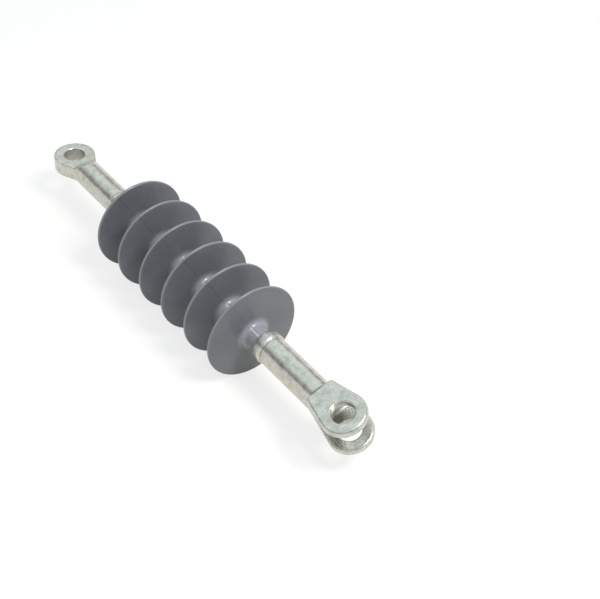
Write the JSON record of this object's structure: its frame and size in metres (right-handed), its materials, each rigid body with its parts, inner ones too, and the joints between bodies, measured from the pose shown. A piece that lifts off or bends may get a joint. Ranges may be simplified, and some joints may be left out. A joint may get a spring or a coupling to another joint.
{
  "type": "composite insulator",
  "caption": "Composite long-rod insulator: grey silicone rubber sheds on a glass-fibre rod, with a galvanised steel eye at one end and a clevis at the other.",
  "frame": {"origin": "centre of the eye's pin hole, half way through the tongue", "axes": "+X runs along the rod from the eye to the clevis, +Z is the axis of the eye's pin hole and points up as the insulator lies on its sheds"},
  "size_m": [0.476, 0.09, 0.09],
  "materials": {
    "rod": "pultruded glass fibre in epoxy",
    "silicone": "moulded, satin",
    "zinc": "hot-dip galvanised",
    "seal": "satin"
  },
  "bodies": {
    "root": {"core_rod": "rod", "housing": "silicone", "eye_fitting": "zinc", "clevis_fitting": "zinc", "eye_seal": "seal", "clevis_seal": "seal"}
  },
  "joints": []
}
